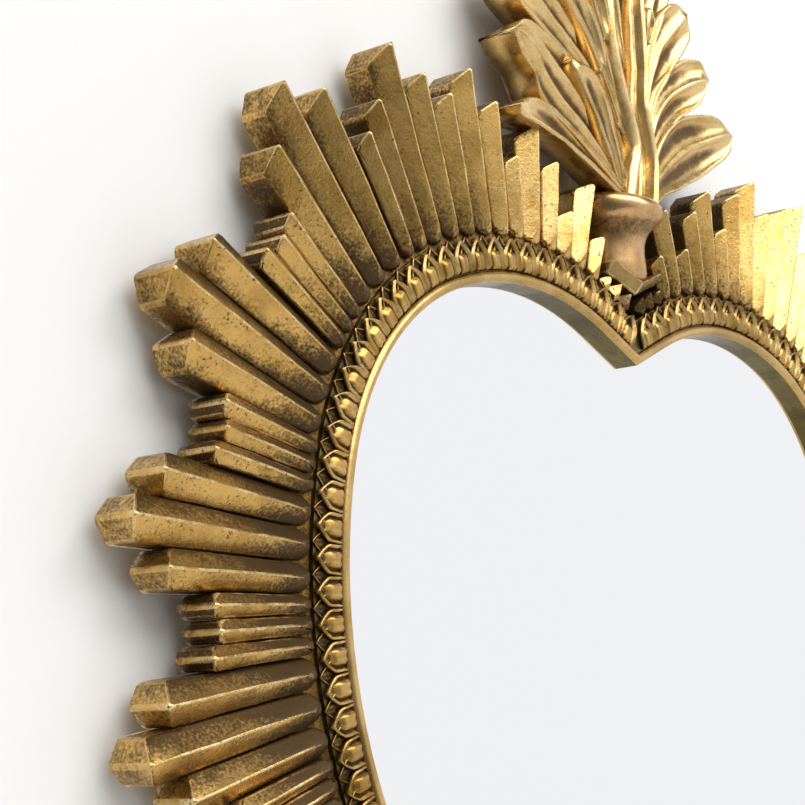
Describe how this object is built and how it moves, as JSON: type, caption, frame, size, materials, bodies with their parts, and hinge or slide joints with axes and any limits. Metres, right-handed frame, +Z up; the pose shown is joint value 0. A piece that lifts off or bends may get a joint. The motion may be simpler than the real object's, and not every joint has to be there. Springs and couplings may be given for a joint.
{
  "type": "heart-shaped wall mirror",
  "caption": "Heart-shaped wall mirror in a gilt moulded frame with a tongue band, a sunburst of pointed rays and a flame finial at the cusp, hung by wire rings.",
  "frame": {"origin": "point on the wall plane, on the mirror's symmetry axis, level with the hinge axes of the two hanger rings", "axes": "+X to the viewer's right, +Y into the wall, +Z up"},
  "size_m": [0.5732, 0.0335, 0.6886],
  "materials": {
    "gilt_resin": "cast resin, gold leaf with a dark-brown patina rubbed into the recesses",
    "silvered_glass": "silvered float glass",
    "fibreboard": "brown fibreboard, raw",
    "plated_steel": "zinc-plated steel",
    "soft_rubber": "soft dark rubber"
  },
  "bodies": {
    "mirror": {"backing_board": "fibreboard", "board_screws": "plated_steel", "finial_plate": "gilt_resin", "finial_screws": "plated_steel", "finial_throat": "gilt_resin", "flame_back": "gilt_resin", "flame_left_side": "gilt_resin", "flame_left_top": "gilt_resin", "flame_right_top": "gilt_resin", "flame_strand_left": "gilt_resin", "flame_strand_right": "gilt_resin", "frame_core": "gilt_resin", "hanger_screws": "plated_steel", "hanger_strap_left": "plated_steel", "hanger_strap_right": "plated_steel", "leaf_left_large": "gilt_resin", "leaf_left_lower": "gilt_resin", "leaf_left_upper": "gilt_resin", "leaf_right_lower": "gilt_resin", "leaf_right_middle": "gilt_resin", "leaf_right_upper": "gilt_resin", "lip_bead": "gilt_resin", "mirror_glass": "silvered_glass", "ray_cluster_left_1": "gilt_resin", "ray_cluster_left_2": "gilt_resin", "ray_cluster_left_3": "gilt_resin", "ray_cluster_left_4": "gilt_resin", "ray_cluster_left_5": "gilt_resin", "ray_cluster_left_6": "gilt_resin", "ray_cluster_left_7": "gilt_resin", "ray_cluster_left_8": "gilt_resin", "ray_cluster_left_9": "gilt_resin", "ray_cluster_point": "gilt_resin", "ray_cluster_right_1": "gilt_resin", "ray_cluster_right_2": "gilt_resin", "ray_cluster_right_3": "gilt_resin", "ray_cluster_right_4": "gilt_resin", "ray_cluster_right_5": "gilt_resin", "ray_cluster_right_6": "gilt_resin", "ray_cluster_right_7": "gilt_resin", "ray_cluster_right_8": "gilt_resin", "ray_cluster_right_9": "gilt_resin", "ray_crown_left": "gilt_resin", "ray_crown_right": "gilt_resin", "tongue_band_left": "gilt_resin", "tongue_band_right": "gilt_resin", "wall_bumper_left": "soft_rubber", "wall_bumper_right": "soft_rubber"},
    "ring_left": {"hanger_ring_left": "plated_steel"},
    "ring_right": {"hanger_ring_right": "plated_steel"}
  },
  "joints": [
    {"name": "ring_left_swing", "type": "hinge", "parent": "mirror", "child": "ring_left", "pos_m": [-0.21512, -0.0035, 0], "axis": [1, 0, 0], "range_deg": [0, 178]},
    {"name": "ring_right_swing", "type": "hinge", "parent": "mirror", "child": "ring_right", "pos_m": [0.21512, -0.0035, 0], "axis": [1, 0, 0], "range_deg": [0, 178]}
  ]
}
